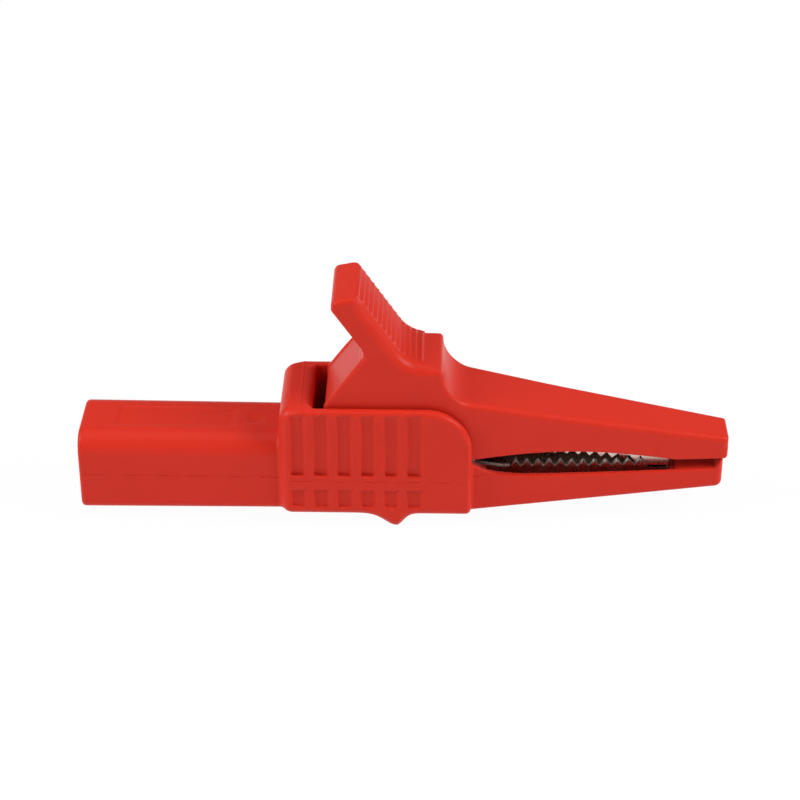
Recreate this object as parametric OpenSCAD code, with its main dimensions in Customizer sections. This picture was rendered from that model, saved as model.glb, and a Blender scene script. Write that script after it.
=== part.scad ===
// Insulated crocodile clip with a rigid 4 mm socket.
// X runs from the socket towards the jaw tips, Z is up, and Y = 0 is the plane of symmetry.
// The origin is the mouth of the metal contact, on the barrel's axis.

/* [Barrel] */
// Length of the barrel from its mouth to the grip
barrel_l = 28.8; // [27:0.2:33]
// Width of the barrel
barrel_w = 12.7; // [12.3:0.1:13.3]
// Height of the barrel
barrel_h = 12.2; // [12:0.1:12.8]
// Corner radius of the barrel's section
barrel_r = 3; // [2.4:0.1:3.4]
// Inside diameter of the room for the plug's shroud
shroud_d = 9.6; // [9.3:0.1:10]
// Depth of the room for the plug's shroud
shroud_depth = 20; // [17:0.5:21]
// Thickness of the wall that closes that room
web_t = 2.4; // [2:0.1:3]

/* [Socket contact] */
// Bore of the contact
contact_bore = 4; // [3.9:0.05:4.1]
// Outside diameter of the contact
contact_d = 5; // [4.8:0.1:5.2]
// Depth of the contact's bore
contact_depth = 17; // [14:0.5:17.5]
// Distance of the contact's mouth behind the barrel's mouth
contact_recess = 2; // [1.5:0.1:3]
// Wall of the insulating sleeve round the contact
sleeve_wall = 0.6; // [0.5:0.05:0.7]
// Diameter of the contact's collar
collar_d = 6.6; // [6:0.1:7]
// Shank diameter of the rivet that holds the contact to the lower jaw
rivet_d = 2.4; // [2:0.1:2.8]

/* [Grip] */
// Length of the grip from the barrel to its front edge
grip_l = 27.2; // [26.4:0.2:30]
// Width over the grip's side walls
grip_w = 15; // [14.8:0.1:15.6]
// Height of the grip
grip_h = 17.4; // [17:0.1:18]
// Thickness of the side walls
side_t = 1.4; // [1.3:0.05:1.5]
// Thickness of the floor
floor_t = 1.2; // [1:0.1:1.4]
// Thickness of the wall behind the lever
rear_wall_t = 4.3; // [3.8:0.1:4.8]
// Radius of the side walls' front corner, struck from the pivot
wall_arc_r = 6.5; // [6.2:0.1:6.8]
// Radius of the grip's bottom edges
belly_r = 2.5; // [2:0.1:3]
// Depth of the recesses in the side walls
recess_depth = 0.4; // [0.3:0.05:0.5]
// Pitch of the recesses
recess_pitch = 3.3; // [3.1:0.05:3.4]
// Width of a recess
recess_w = 2.15; // [1.8:0.05:2.4]
// Height of the finger stop below the grip
stop_h = 2.05; // [1.5:0.05:2.5]

/* [Lever] */
// Width of the lever between the side walls
lever_w = 11.7; // [11.5:0.05:11.9]
// Width of the thumb pad
pad_w = 10.4; // [10:0.1:11]
// Thickness of the lever's walls
lever_t = 1.35; // [1.2:0.05:1.4]
// Length of the straight, ribbed part of the thumb pad
pad_l = 9.2; // [8.6:0.1:10]
// Slope of the thumb pad
pad_slope = 56; // [54:1:58]
// Height of the ribs on the thumb pad
rib_h = 0.35; // [0.25:0.05:0.5]
// Pitch of the ribs
rib_pitch = 1.02; // [0.95:0.01:1.2]

/* [Jaws] */
// Length of the jaws in front of the grip
jaw_l = 36.6; // [34:0.2:40]
// Width of the jaw covers where they leave the grip
jaw_root_w = 10.6; // [10.2:0.1:10.8]
// Width of the jaw covers at their tips
jaw_tip_w = 5.7; // [5.2:0.1:6.4]
// Length of the plain plastic noses in front of the metal jaws
nose_l = 8.3; // [7.5:0.1:9]
// Thickness of the jaws' sheet metal
sheet_t = 0.7; // [0.6:0.05:0.75]
// Width over the metal jaws at their front end
metal_tip_w = 3.6; // [3.2:0.1:3.8]
// Pitch of the teeth
tooth_pitch = 1.63; // [1.5:0.01:1.8]
// Height of the teeth
tooth_h = 0.95; // [0.7:0.05:1]

/* [Pivot and spring] */
// Diameter of the pivot pin
pin_d = 3; // [2.8:0.1:3.2]
// Outside diameter of the bush on the pin
bush_d = 4.2; // [4:0.1:4.4]
// Wire diameter of the spring
wire_d = 1.1; // [1:0.05:1.15]
// Mean radius of the spring's coil
coil_r = 3; // [2.9:0.05:3.1]

/* [Hidden] */
$fn = 48;

// Small distances
fit = 0.05;          // play of a fixed or turning fit, on the radius
play = 0.1;          // sideways play between two pieces on the pin
over = 1;            // how far a cutter runs past a face
slab = 0.02;         // thickness of the end sections of a loft

// Lengthwise places
mouth_x = -contact_recess;
web_x = mouth_x + shroud_depth;
tail_x = web_x + web_t;
collar_t = 1;
tab_x = tail_x + collar_t;
grip_x = mouth_x + barrel_l;
cavity_x = grip_x + rear_wall_t;
front_x = grip_x + grip_l;
pivot_x = front_x - wall_arc_r;
tip_x = front_x + jaw_l;
lower_tip_x = tip_x - 0.8;
metal_x = tip_x - nose_l;
nose_x = metal_x + 0.9;
root_plan_x = front_x - 4;     // start of the upper cover's plan, inside the lever
cover_break_x = front_x + 12;  // where the upper cover's top changes its slope
plan_break_x = front_x - 3.5;  // where the metal jaws begin to taper

// Heights
bottom_z = -barrel_h / 2;
wall_top_z = bottom_z + grip_h;
pivot_z = wall_top_z - wall_arc_r;
floor_z = bottom_z + floor_t;
nose_z = 1.65;       // underside of the upper nose
lower_tip_z = -3.3;  // underside of the lower jaw cover at its tip
cover_top_z = 11.5;  // top of the upper jaw cover at its root
cover_mid_z = 9.05;
cover_tip_z = 5;
cover_floor_t = 1.1;
lower_nose_gap = 0.35;         // slit between the two noses

// Widths across, one inside the other from the walls to the spring
cavity_w = grip_w - 2 * side_t;
lever_in_w = lever_w - 2 * lever_t;
upper_ear_w = lever_in_w - 2 * play;
lower_ear_w = upper_ear_w - 2 * sheet_t - 4 * play;
bush_l = lower_ear_w - 2 * sheet_t - 2 * play;
ear_r = 3.4;
hub_r = 5.3;
pin_r = pin_d / 2;
pin_sink = 0.6;      // depth of the pin's seats in the side walls

// Lever outline, from the pivot
foot_play = 0.8;
foot_r = pivot_x - cavity_x - foot_play;
foot_low_a = 170;
foot_top_a = 180 - asin((wall_top_z - pivot_z) / foot_r);
notch = [pivot_x - 8.1, pivot_z + 15.1];
pad_top = [pivot_x - 9.3, pivot_z + 22.7];
pad_back = [pivot_x - 13, pivot_z + 22.5];
pad_crown_h = 1;
pad_curve_r = 6;
shelf_slope = 12;
shelf_x = pivot_x + 2.3;
front_fillet_r = 4.8;
pad_curve_start = pad_top + pad_l * [cos(pad_slope), -sin(pad_slope)];
pad_curve_centre = pad_curve_start + pad_curve_r * [sin(pad_slope), cos(pad_slope)];
shelf_start = pad_curve_centre - pad_curve_r * [sin(shelf_slope), cos(shelf_slope)];
shelf_corner_r = 0.8;
shelf_end_z = shelf_start[1] - (shelf_x - shelf_corner_r - shelf_start[0]) * tan(shelf_slope);
cover_slope = atan((cover_top_z - cover_mid_z) / (cover_break_x - front_x));
front_fillet = [shelf_x + front_fillet_r, cover_top_z + front_fillet_r * cos(cover_slope)];
pad_z = notch[1] - 3;
spring_seat_z = pivot_z + 8.4;
seat_end_x = pivot_x + 1.1;

// Points of an arc about c, of radius r, from angle a to angle b
function arc(c, r, a, b, n = 8) = [for (i = [0 : n])
    let (t = a + (b - a) * i / n) c + r * [cos(t), sin(t)]];

// Straight change from a to b as x goes from p to q
function between(x, p, q, a, b) = a + (b - a) * (x - p) / (q - p);

// Half width of the jaw covers and of their metal, seen from above
function cover_half(x) = between(x, front_x, tip_x, jaw_root_w, jaw_tip_w) / 2;

// Underside of the upper cover: an arch from the grip to the nose
arch_x = front_x - 2;
arch_rise = 1.55;
arch_drop = 0.55;
function skirt_z(x) = let (f = min(1, (x - arch_x) / (nose_x - arch_x)))
    nose_z + arch_drop * (1 - f) + arch_rise * sin(180 * f);

// Top edge of the lower cover: it drops from the grip and rises a little towards the tip
rim_low_z = -0.45;
rim_step = 2.35;
rim_step_l = 2.6;
rim_rise = 0.5;
function rim_z(x) = let (d = max(0, x - front_x))
    rim_low_z + rim_step * exp(-d / rim_step_l) + rim_rise * pow(d / jaw_l, 2);

// Seat of the lower metal jaw
function seat_z(x) = x < front_x ? floor_z
    : between(x, front_x, lower_tip_x, floor_z, lower_tip_z + cover_floor_t);

// Lines through the tips of the teeth: a sagging row below, and a row above that meets it in front
lower_line_z = 0.42;
lower_line_curve = 0.0045;
lower_line_mid = 15;
function lower_teeth_z(x) = lower_line_z + lower_line_curve * pow(x - front_x - lower_line_mid, 2);
upper_line_z = 0.45;
upper_line_slope = 0.164;
upper_line_curve = 0.004;
upper_line_end = 4.8;
function upper_teeth_z(x) = let (d = metal_x - upper_line_end - x)
    upper_line_z + upper_line_slope * d - upper_line_curve * d * d;
teeth_x = front_x + 5.5;
teeth_end_x = metal_x - 2.5;
tooth_flat = 0.08;             // half length of the flat on a tooth's tip
lower_teeth = floor((teeth_end_x - teeth_x) / tooth_pitch);
upper_teeth = lower_teeth - 1;

// Turns an XZ outline into a plate of width w across Y
module across(w) {
    rotate([90, 0, 0])
        translate([0, 0, -w / 2])
            linear_extrude(w)
                children();
}

// Turns an XY outline into a column through the whole clip
module upright() {
    translate([0, 0, bottom_z - grip_h])
        linear_extrude(4 * grip_h)
            children();
}

// Turns a YZ outline into a bar from x to x + l
module along(x, l) {
    translate([x, 0, 0])
        rotate([90, 0, 90])
            linear_extrude(l)
                children();
}

// A cylinder on an axis parallel to X
module rod(x, l, d) {
    translate([x, 0, 0])
        rotate([0, 90, 0])
            cylinder(h = l, d = d);
}

// A cylinder on the pivot axis, centred across
module pivot_rod(l, r) {
    translate([pivot_x, 0, pivot_z])
        rotate([90, 0, 0])
            cylinder(h = l, r = r, center = true);
}

// A YZ rectangle with round corners, from z0 to z1
module round_section(w, z0, z1, r) {
    translate([0, (z0 + z1) / 2])
        union() {
            square([w - 2 * r, z1 - z0], center = true);
            square([w, z1 - z0 - 2 * r], center = true);
            for (sy = [-1, 1], sz = [-1, 1])
                translate([sy * (w / 2 - r), sz * ((z1 - z0) / 2 - r)])
                    circle(r);
        }
}

// Space in the grip: under the lever, behind it to the contact, and out at the front
module grip_room() {
    front_wall_t = 1.8;
    tail_w = lower_ear_w + 2 * fit;
    tail_h = barrel_h - 2 * floor_t - 1;
    translate([cavity_x, -cavity_w / 2, floor_z])
        cube([front_x - front_wall_t - cavity_x, cavity_w, grip_h]);
    translate([front_x - 2 * over, -cavity_w / 2, rim_z(front_x)])
        cube([4 * over, cavity_w, grip_h]);
    translate([tail_x, -tail_w / 2, floor_z])
        cube([cavity_x - tail_x + over, tail_w, tail_h]);
    translate([cavity_x, -tail_w / 2, floor_z])
        cube([front_x - cavity_x + over, tail_w, grip_h]);
}

// Outline of the finger stop: a bump, long on the barrel's side and short in front
module stop_outline() {
    stop_x = front_x - 10.8;
    rear_l = 8;
    front_l = 4;
    rear_spread = 3.2;
    front_spread = 1.35;
    steps = 30;
    polygon(concat(
        [[stop_x + front_l, bottom_z + over], [stop_x - rear_l, bottom_z + over]],
        [for (i = [0 : steps])
            let (x = between(i, 0, steps, -rear_l, front_l), spread = x < 0 ? rear_spread : front_spread)
            [stop_x + x, bottom_z - stop_h * exp(-pow(x / spread, 2))]]
    ));
}

// Outline of the grip with its rear top corner and its round front corner
module grip_outline() {
    rear_r = 1.8;
    foot_corner_r = 0.8;
    polygon(concat(
        [[grip_x, bottom_z]],
        arc([front_x - foot_corner_r, bottom_z + foot_corner_r], foot_corner_r, 270, 360, 4),
        arc([pivot_x, pivot_z], wall_arc_r, 0, 90, 16),
        arc([grip_x + rear_r, wall_top_z - rear_r], rear_r, 90, 180, 6)
    ));
}

// One recess of the side wall, as a YZ outline on the +Y side, from z0 to z1 with a ramp at each end
module recess_outline(z0, z1, ramp0, ramp1) {
    y1 = grip_w / 2;
    polygon([[y1 + over, z0 - ramp0 * over / recess_depth], [y1 - recess_depth, z0 + ramp0],
             [y1 - recess_depth, z1 - ramp1], [y1 + over, z1 + ramp1 * over / recess_depth]]);
}

// Two rows of recesses in each side wall
module side_recesses() {
    first_x = grip_x + 2.3 - recess_w / 2;
    columns = 6;
    row_low_z = -1.3;
    row_high_z = 0.3;
    for (i = [0 : columns - 1], side = [0, 1])
        mirror([0, side, 0])
            along(first_x + i * recess_pitch, recess_w) {
                recess_outline(row_high_z, wall_top_z - 0.7, 1, 0.2);
                recess_outline(bottom_z + 1.1, row_low_z, 0.2, 0.4);
            }
}

// Lower jaw cover before its hollows: lofted from a section at the grip to one at the tip
module lower_cover_block() {
    edge_r = 1.3;
    tip_r = 1;
    root_x = front_x - 2;
    lip_t = 0.7;
    lip_z = nose_z - lower_nose_gap;
    steps = 24;
    intersection() {
        hull() {
            along(root_x, slab)
                round_section(jaw_root_w, bottom_z + 0.1, rim_z(front_x) + 2, edge_r, $fn = 24);
            along(lower_tip_x - slab, slab)
                round_section(2 * cover_half(lower_tip_x), lower_tip_z, lip_z + edge_r, edge_r, $fn = 24);
        }
        across(grip_w)
            polygon(concat(
                [[root_x - over, bottom_z - over]],
                arc([lower_tip_x - tip_r, lower_tip_z + tip_r], tip_r, 290, 360, 6),
                [[lower_tip_x, lip_z], [lower_tip_x - lip_t, lip_z]],
                [for (i = [0 : steps])
                    let (x = between(i, 0, steps, lower_tip_x - lip_t - 0.2, front_x)) [x, rim_z(x)]],
                [[root_x - over, rim_z(front_x)]]
            ));
    }
}

// The ledge inside the lower cover's rim, and the slot for the lower jaw
module lower_cover_room() {
    ledge = 0.5;
    root_lip_t = 1;
    tip_lip_t = 0.6;
    root_x = front_x - 2;
    slot_x = metal_x + 2 * fit;
    steps = 24;
    intersection() {
        across(grip_w)
            polygon(concat(
                [for (i = [0 : steps]) let (x = between(i, 0, steps, root_x, nose_x)) [x, rim_z(x) - ledge]],
                [[nose_x, grip_h], [root_x, grip_h]]
            ));
        upright()
            polygon([[root_x, -cover_half(front_x) + root_lip_t], [nose_x, -cover_half(nose_x) + tip_lip_t],
                     [nose_x, cover_half(nose_x) - tip_lip_t], [root_x, cover_half(front_x) - root_lip_t]]);
    }
    intersection() {
        across(grip_w)
            polygon([[root_x - over, floor_z], [front_x, floor_z], [slot_x, seat_z(slot_x)],
                     [slot_x, grip_h], [root_x - over, grip_h]]);
        upright()
            metal_plan(lower_ear_w / 2 + fit, fit, slot_x);
    }
}

// Plan of a metal jaw: parallel ears, a taper to the toothed part and a slight taper to its end
module metal_plan(ear_half, grow, end_x) {
    tip_half = metal_tip_w / 2 + grow;
    break_half = tip_half + 0.3;
    polygon([[tab_x, -ear_half], [plan_break_x, -ear_half], [cover_break_x, -break_half], [end_x, -tip_half],
             [end_x, tip_half], [cover_break_x, break_half], [plan_break_x, ear_half], [tab_x, ear_half]]);
}

// Outside of the grip, with its finger stop
module grip_block() {
    top_r = 0.9;
    stop_w = grip_w - 0.6;
    stop_r = belly_r - 0.3;
    intersection() {
        union() {
            intersection() {
                across(grip_w)
                    grip_outline();
                along(grip_x - over, grip_l + 2 * over)
                    union() {
                        round_section(grip_w, bottom_z, wall_top_z - 2 * top_r, belly_r);
                        round_section(grip_w, 0, wall_top_z, top_r);
                    }
            }
            intersection() {
                across(grip_w)
                    stop_outline();
                along(grip_x - over, grip_l + 2 * over)
                    round_section(stop_w, bottom_z - stop_h, 0, stop_r);
            }
        }
        grip_plan();
    }
}

module housing() {
    color("#D2342A")
        difference() {
            union() {
                along(mouth_x, barrel_l + 2 * over)
                    round_section(barrel_w, -barrel_h / 2, barrel_h / 2, barrel_r);
                grip_block();
                lower_cover_block();
            }
            rod(mouth_x - over, shroud_depth + over, shroud_d);
            rod(web_x - over, web_t + 2 * over, contact_d + 2 * fit);
            grip_room();
            lower_cover_room();
            side_recesses();
            panel_recess();
            pivot_rod(cavity_w + 2 * pin_sink, pin_r + fit);
        }
}

// Plan of the grip with round rear corners
module grip_plan() {
    corner_r = 1.6;
    upright()
        union() {
            for (sy = [-1, 1])
                translate([grip_x + corner_r, sy * (grip_w / 2 - corner_r)])
                    circle(corner_r);
            translate([grip_x, -grip_w / 2 + corner_r])
                square([grip_l + over, grip_w - 2 * corner_r]);
            translate([grip_x + corner_r, -grip_w / 2])
                square([grip_l + over - corner_r, grip_w]);
        }
}

// Shallow bare panel and a small plain square on top of the barrel
module panel_recess() {
    panel_x = mouth_x + 5.3;
    panel_l = 16.6;
    panel_w = 5;
    panel_depth = 0.2;
    mark_x = grip_x - 4.9;
    mark_y = -1.5;
    mark_w = 2.2;
    translate([panel_x, -panel_w / 2, barrel_h / 2 - panel_depth])
        cube([panel_l, panel_w, over]);
    translate([mark_x, mark_y, barrel_h / 2 - panel_depth])
        cube([mark_w, mark_w, over]);
}

// Outline of the lever: foot, back, notch, thumb pad, shelf, front face, fillet and hub
module lever_outline() {
    polygon(concat(
        arc([pivot_x, pivot_z], hub_r, 186, 325, 16),
        [[front_x - 1.2, skirt_z(front_x - 1.2)], [front_x, skirt_z(front_x)], [front_x, cover_top_z]],
        arc(front_fillet, front_fillet_r, 270 - cover_slope, 180, 10),
        arc([shelf_x - shelf_corner_r, shelf_end_z - shelf_corner_r], shelf_corner_r,
            0, 90 - shelf_slope, 5),
        arc(pad_curve_centre, pad_curve_r, 270 - shelf_slope, 270 - pad_slope, 10),
        [pad_top],
        [for (f = [0.125 : 0.125 : 0.875])
            pad_top * (1 - f) + pad_back * f + [0, pad_crown_h * sin(180 * f)]],
        [pad_back, pad_back + [0.15, -0.9], notch + [-0.35, 0.65], notch + [0, -0.5]],
        arc([pivot_x, pivot_z], foot_r, foot_top_a, foot_low_a, 6)
    ));
}

// Room inside the lever's body for the metal jaw, the spring and the lower jaw's ears
module lever_room_outline() {
    in_r = foot_r - lever_t;
    back = [pivot_x + foot_r * cos(foot_top_a), wall_top_z];
    back_a = atan2(notch[1] - back[1], notch[0] - back[0]);
    back_in = back + lever_t * [sin(back_a), -cos(back_a)];
    back_in_a = atan2(back_in[1] - pivot_z, back_in[0] - pivot_x);
    ceiling_z = spring_seat_z + sheet_t + fit;
    low_z = pivot_z - hub_r - over;
    polygon(concat(
        arc([pivot_x, pivot_z], in_r, foot_low_a + 12, back_in_a, 6),
        [[back_in[0] + (ceiling_z - back_in[1]) / tan(back_a), ceiling_z],
         [seat_end_x, ceiling_z], [seat_end_x, low_z], [cavity_x + 3, low_z]]
    ));
}

// Section of the lever across: wide between the walls, narrower at the pad
module lever_section() {
    high_z = 3 * grip_h;
    wide_z = wall_top_z + 0.5;
    polygon([[-lever_w / 2, bottom_z], [lever_w / 2, bottom_z], [lever_w / 2, wide_z], [pad_w / 2, pad_z],
             [pad_w / 2, high_z], [-pad_w / 2, high_z], [-pad_w / 2, pad_z], [-lever_w / 2, wide_z]]);
}

// Sawtooth ribs across the thumb pad, first down its straight and then round its curve
module pad_ribs() {
    border = 0.9;
    first_s = 0.5;
    straight_ribs = floor((pad_l - first_s) / rib_pitch);
    curve_ribs = 4;
    curve_step = rib_pitch / pad_curve_r * 180 / PI;
    across(pad_w - 2 * border) {
        for (i = [0 : straight_ribs - 1])
            translate(pad_top + (first_s + i * rib_pitch) * [cos(pad_slope), -sin(pad_slope)])
                rotate(-pad_slope)
                    rib_outline();
        for (i = [0 : curve_ribs - 1])
            translate(pad_curve_centre)
                rotate(270 - pad_slope + (i + 0.4) * curve_step)
                    translate([pad_curve_r, 0])
                        rotate(90)
                            rib_outline();
    }
}

// One rib: steep on its upper side, with a short flat, and a ramp on its lower side
module rib_outline() {
    root = -0.2;
    foot_l = 0.75 * rib_pitch;
    flat_l = 0.22;
    polygon([[0, root], [foot_l, root], [foot_l, 0], [flat_l, rib_h], [0, rib_h - 0.05]]);
}

// Upper jaw cover before its hollows, in two lofts with round edges
module upper_cover_block() {
    root_r = 1.3;
    tip_r = 1.1;
    corner_r = 0.8;
    root_x = front_x - 2.5;
    low_z = nose_z - over;
    steps = 30;
    intersection() {
        union() {
            hull() {
                along(root_x, slab)
                    round_section(jaw_root_w + 0.3, low_z, cover_top_z + 0.5, root_r, $fn = 24);
                along(cover_break_x, slab)
                    round_section(2 * cover_half(cover_break_x), low_z, cover_mid_z, root_r, $fn = 24);
            }
            hull() {
                along(cover_break_x, slab)
                    round_section(2 * cover_half(cover_break_x), low_z, cover_mid_z, root_r, $fn = 24);
                along(tip_x - slab, slab)
                    round_section(jaw_tip_w, low_z, cover_tip_z, tip_r, $fn = 24);
            }
        }
        across(grip_w)
            polygon(concat(
                [for (i = [0 : steps]) let (x = between(i, 0, steps, arch_x, nose_x)) [x, skirt_z(x)]],
                [[tip_x - 0.3, nose_z], [tip_x, nose_z + 0.3]],
                arc([tip_x - corner_r, cover_tip_z - corner_r], corner_r, 0, 80, 5),
                [[arch_x + over, 2 * grip_h], [arch_x, 2 * grip_h]]
            ));
        tip_plan(corner_r);
    }
}

// Plan that rounds the upright edges of the tip
module tip_plan(corner_r) {
    upright()
        union() {
            translate([root_plan_x, -grip_w / 2])
                square([tip_x - corner_r - root_plan_x, grip_w]);
            translate([front_x, -jaw_tip_w / 2 + corner_r])
                square([jaw_l, jaw_tip_w - 2 * corner_r]);
            for (sy = [-1, 1])
                translate([tip_x - corner_r, sy * (jaw_tip_w / 2 - corner_r)])
                    circle(corner_r);
        }
}

// Top of the upper metal jaw: level over the pivot, then down under the cover
metal_root_z = cover_top_z - 1.8;
metal_break_z = cover_mid_z - 1.6;
metal_tip_z = cover_tip_z - 1;
function metal_top_z(x) =
    x < front_x ? between(x, seat_end_x, front_x, spring_seat_z + sheet_t, metal_root_z)
    : x < cover_break_x ? between(x, front_x, cover_break_x, metal_root_z, metal_break_z)
    : between(x, cover_break_x, tip_x, metal_break_z, metal_tip_z);

// Points along that top, moved up by rise, as far as end_x
function metal_top_line(rise, end_x) = [for (x = [seat_end_x, front_x, cover_break_x, end_x])
    [x, metal_top_z(x) + rise]];

// Plan of the lever: straight between the walls, then narrower towards the jaw cover
module lever_plan() {
    straight_x = shelf_x - 0.8;
    polygon([[cavity_x, -lever_w / 2], [straight_x, -lever_w / 2], [front_x, -jaw_root_w / 2],
             [front_x, jaw_root_w / 2], [straight_x, lever_w / 2], [cavity_x, lever_w / 2]]);
}

module lever() {
    slot_x = metal_x + 2 * fit;
    color("#D93A2C")
        difference() {
            union() {
                intersection() {
                    across(lever_w)
                        lever_outline();
                    along(cavity_x, front_x - cavity_x + over)
                        lever_section();
                    upright()
                        lever_plan();
                }
                pad_ribs();
                upper_cover_block();
            }
            across(lever_in_w)
                lever_room_outline();
            intersection() {
                across(grip_w)
                    polygon(concat(
                        [[slot_x, bottom_z], [pivot_x, bottom_z], [pivot_x, pivot_z]],
                        metal_top_line(fit, slot_x)
                    ));
                upright()
                    metal_plan(lever_in_w / 2, fit, slot_x);
            }
            pivot_rod(lever_w + 2 * over, pin_r + fit);
        }
}

// A row of n teeth from x0: root, and both ends of the flat tip; up is 1 or -1
function teeth(n, x0, up) = [for (i = [0 : n - 1]) each
    let (x = x0 + i * tooth_pitch, mid = x + tooth_pitch / 2,
         z = up > 0 ? lower_teeth_z(mid) : upper_teeth_z(mid))
    [[x, z - up * tooth_h], [mid - tooth_flat, z], [mid + tooth_flat, z]]];

// Side view of the lower jaw: tail, ears, toothed edge and low front end
module lower_jaw_outline() {
    tail_wall_z = floor_z + 2.6;
    low_end_z = -0.65;
    end_x = teeth_x + lower_teeth * tooth_pitch;
    row = teeth(lower_teeth, teeth_x, 1);
    polygon(concat(
        [[tab_x, floor_z], [front_x, floor_z], [metal_x, seat_z(metal_x)], [metal_x, low_end_z],
         [end_x + 0.4, low_end_z]],
        [for (i = [len(row) - 1 : -1 : 0]) row[i]],
        [[teeth_x - 1, row[0][1]], [front_x + 0.5, rim_z(front_x) - 1.3], [pivot_x + 4.6, pivot_z - 2.4]],
        arc([pivot_x, pivot_z], ear_r, 320, 200, 14),
        [[pivot_x - 5.5, tail_wall_z], [tab_x, tail_wall_z]]
    ));
}

module lower_jaw() {
    inner_x = tab_x + sheet_t;
    open_x = metal_x + over;
    tab_w = lower_ear_w - 1.2;
    tab_top_z = 3.2;
    color("#C9CBCC")
        difference() {
            union() {
                intersection() {
                    across(lower_ear_w)
                        lower_jaw_outline();
                    upright()
                        metal_plan(lower_ear_w / 2, 0, metal_x);
                }
                translate([tab_x, -tab_w / 2, floor_z])
                    cube([sheet_t, tab_w, tab_top_z - floor_z]);
            }
            intersection() {
                across(grip_w)
                    polygon([[inner_x, floor_z + sheet_t], [front_x, floor_z + sheet_t],
                             [open_x, seat_z(open_x) + sheet_t], [open_x, grip_h], [inner_x, grip_h]]);
                upright()
                    metal_plan(lower_ear_w / 2 - sheet_t, -sheet_t, open_x);
            }
            pivot_rod(grip_w, pin_r + fit);
            rod(tab_x - over, sheet_t + 2 * over, rivet_d + 2 * fit);
        }
}

// Side view of the upper jaw: spring seat, ears, toothed edge and the nose that dips behind the lower rim
module upper_jaw_outline() {
    seat_x = pivot_x - 9.5;
    seat_lip = 1.6;
    row = teeth(upper_teeth, teeth_x + tooth_pitch / 2, -1);
    end_x = row[0][0] + upper_teeth * tooth_pitch;
    nose_low_z = -0.25;
    polygon(concat(
        [[metal_x, nose_low_z]],
        [for (i = [3 : -1 : 0]) metal_top_line(0, metal_x)[i]],
        [[seat_x, spring_seat_z + sheet_t], [seat_x, spring_seat_z - seat_lip], [pivot_x - 4, pivot_z + 4]],
        arc([pivot_x, pivot_z], ear_r, 160, 310, 14),
        [[front_x - 1, skirt_z(front_x) + 0.6], [teeth_x, row[0][1]]],
        row,
        [[end_x, upper_teeth_z(end_x) + tooth_h], [end_x + 0.9, nose_low_z]]
    ));
}

module upper_jaw() {
    open_x = metal_x - sheet_t;
    color("#CFD1D2")
        difference() {
            intersection() {
                across(upper_ear_w)
                    upper_jaw_outline();
                upright()
                    metal_plan(upper_ear_w / 2, 0, metal_x);
            }
            intersection() {
                across(grip_w)
                    polygon(concat(
                        [[open_x, bottom_z], [cavity_x, bottom_z], [cavity_x, spring_seat_z]],
                        metal_top_line(-sheet_t, open_x)
                    ));
                upright()
                    metal_plan(upper_ear_w / 2 - sheet_t, -sheet_t, open_x);
            }
            pivot_rod(grip_w, pin_r + fit);
        }
}

module pivot_pin() {
    chamfer = 0.25;
    half = cavity_w / 2 + pin_sink - fit;
    color("#B9BCC0")
        translate([pivot_x, 0, pivot_z])
            rotate([90, 0, 0])
                rotate_extrude()
                    polygon([[0, -half], [pin_r - chamfer, -half], [pin_r, -half + chamfer],
                             [pin_r, half - chamfer], [pin_r - chamfer, half], [0, half]]);
}

module spring_bush() {
    color("#E6DFC8")
        difference() {
            pivot_rod(bush_l, bush_d / 2);
            pivot_rod(bush_l + over, pin_r + fit);
        }
}

// Wire of the spring as rings [centre, outward, sideways]: lower leg, coil, upper leg
low_leg_a = 291;
high_leg_a = 65;
coil_turns = 3;
coil_sweep = 360 * coil_turns + 360 - low_leg_a + high_leg_a;
coil_rings = 64;
coil_l = bush_l - wire_d - 2 * fit;
low_leg_l = (pivot_z + coil_r * sin(low_leg_a) - floor_z - sheet_t - wire_d / 2 - fit) / cos(low_leg_a);
high_leg_l = (spring_seat_z - wire_d / 2 - fit - pivot_z - coil_r * sin(high_leg_a)) / cos(high_leg_a);
function coil_point(f) = let (a = low_leg_a + coil_sweep * f)
    [[pivot_x + coil_r * cos(a), coil_l * (f - 0.5), pivot_z + coil_r * sin(a)], [cos(a), 0, sin(a)]];
function leg_ring(f, l) = let (p = coil_point(f), a = low_leg_a + coil_sweep * f)
    [p[0] + l * [-sin(a), 0, cos(a)], p[1]];
wire_rings = concat(
    [leg_ring(0, -low_leg_l)],
    [for (i = [0 : coil_rings]) coil_point(i / coil_rings)],
    [leg_ring(1, high_leg_l)]
);

module torsion_spring() {
    sides = 10;
    n = len(wire_rings);
    points = [for (ring = wire_rings, k = [0 : sides - 1]) let (a = 360 * k / sides)
        ring[0] + wire_d / 2 * (cos(a) * ring[1] + sin(a) * [0, 1, 0])];
    walls = [for (i = [0 : n - 2], k = [0 : sides - 1]) let (j = (k + 1) % sides)
        [i * sides + k, (i + 1) * sides + k, (i + 1) * sides + j, i * sides + j]];
    color("#AEB3B8")
        polyhedron(points, concat(
            walls,
            [[for (k = [0 : sides - 1]) k]],
            [[for (k = [sides - 1 : -1 : 0]) (n - 1) * sides + k]]
        ));
}

// Blind end of the rivet's hole in the contact
rivet_hole_x = contact_depth + 1.2;

module socket_contact() {
    color("#D8D2C0")
        rotate([0, 90, 0])
            rotate_extrude()
                polygon([[contact_bore / 2, 0], [contact_d / 2, 0], [contact_d / 2, tail_x],
                         [collar_d / 2, tail_x], [collar_d / 2, tab_x], [rivet_d / 2, tab_x],
                         [rivet_d / 2, rivet_hole_x], [0, rivet_hole_x], [0, contact_depth],
                         [contact_bore / 2, contact_depth]]);
}

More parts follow.
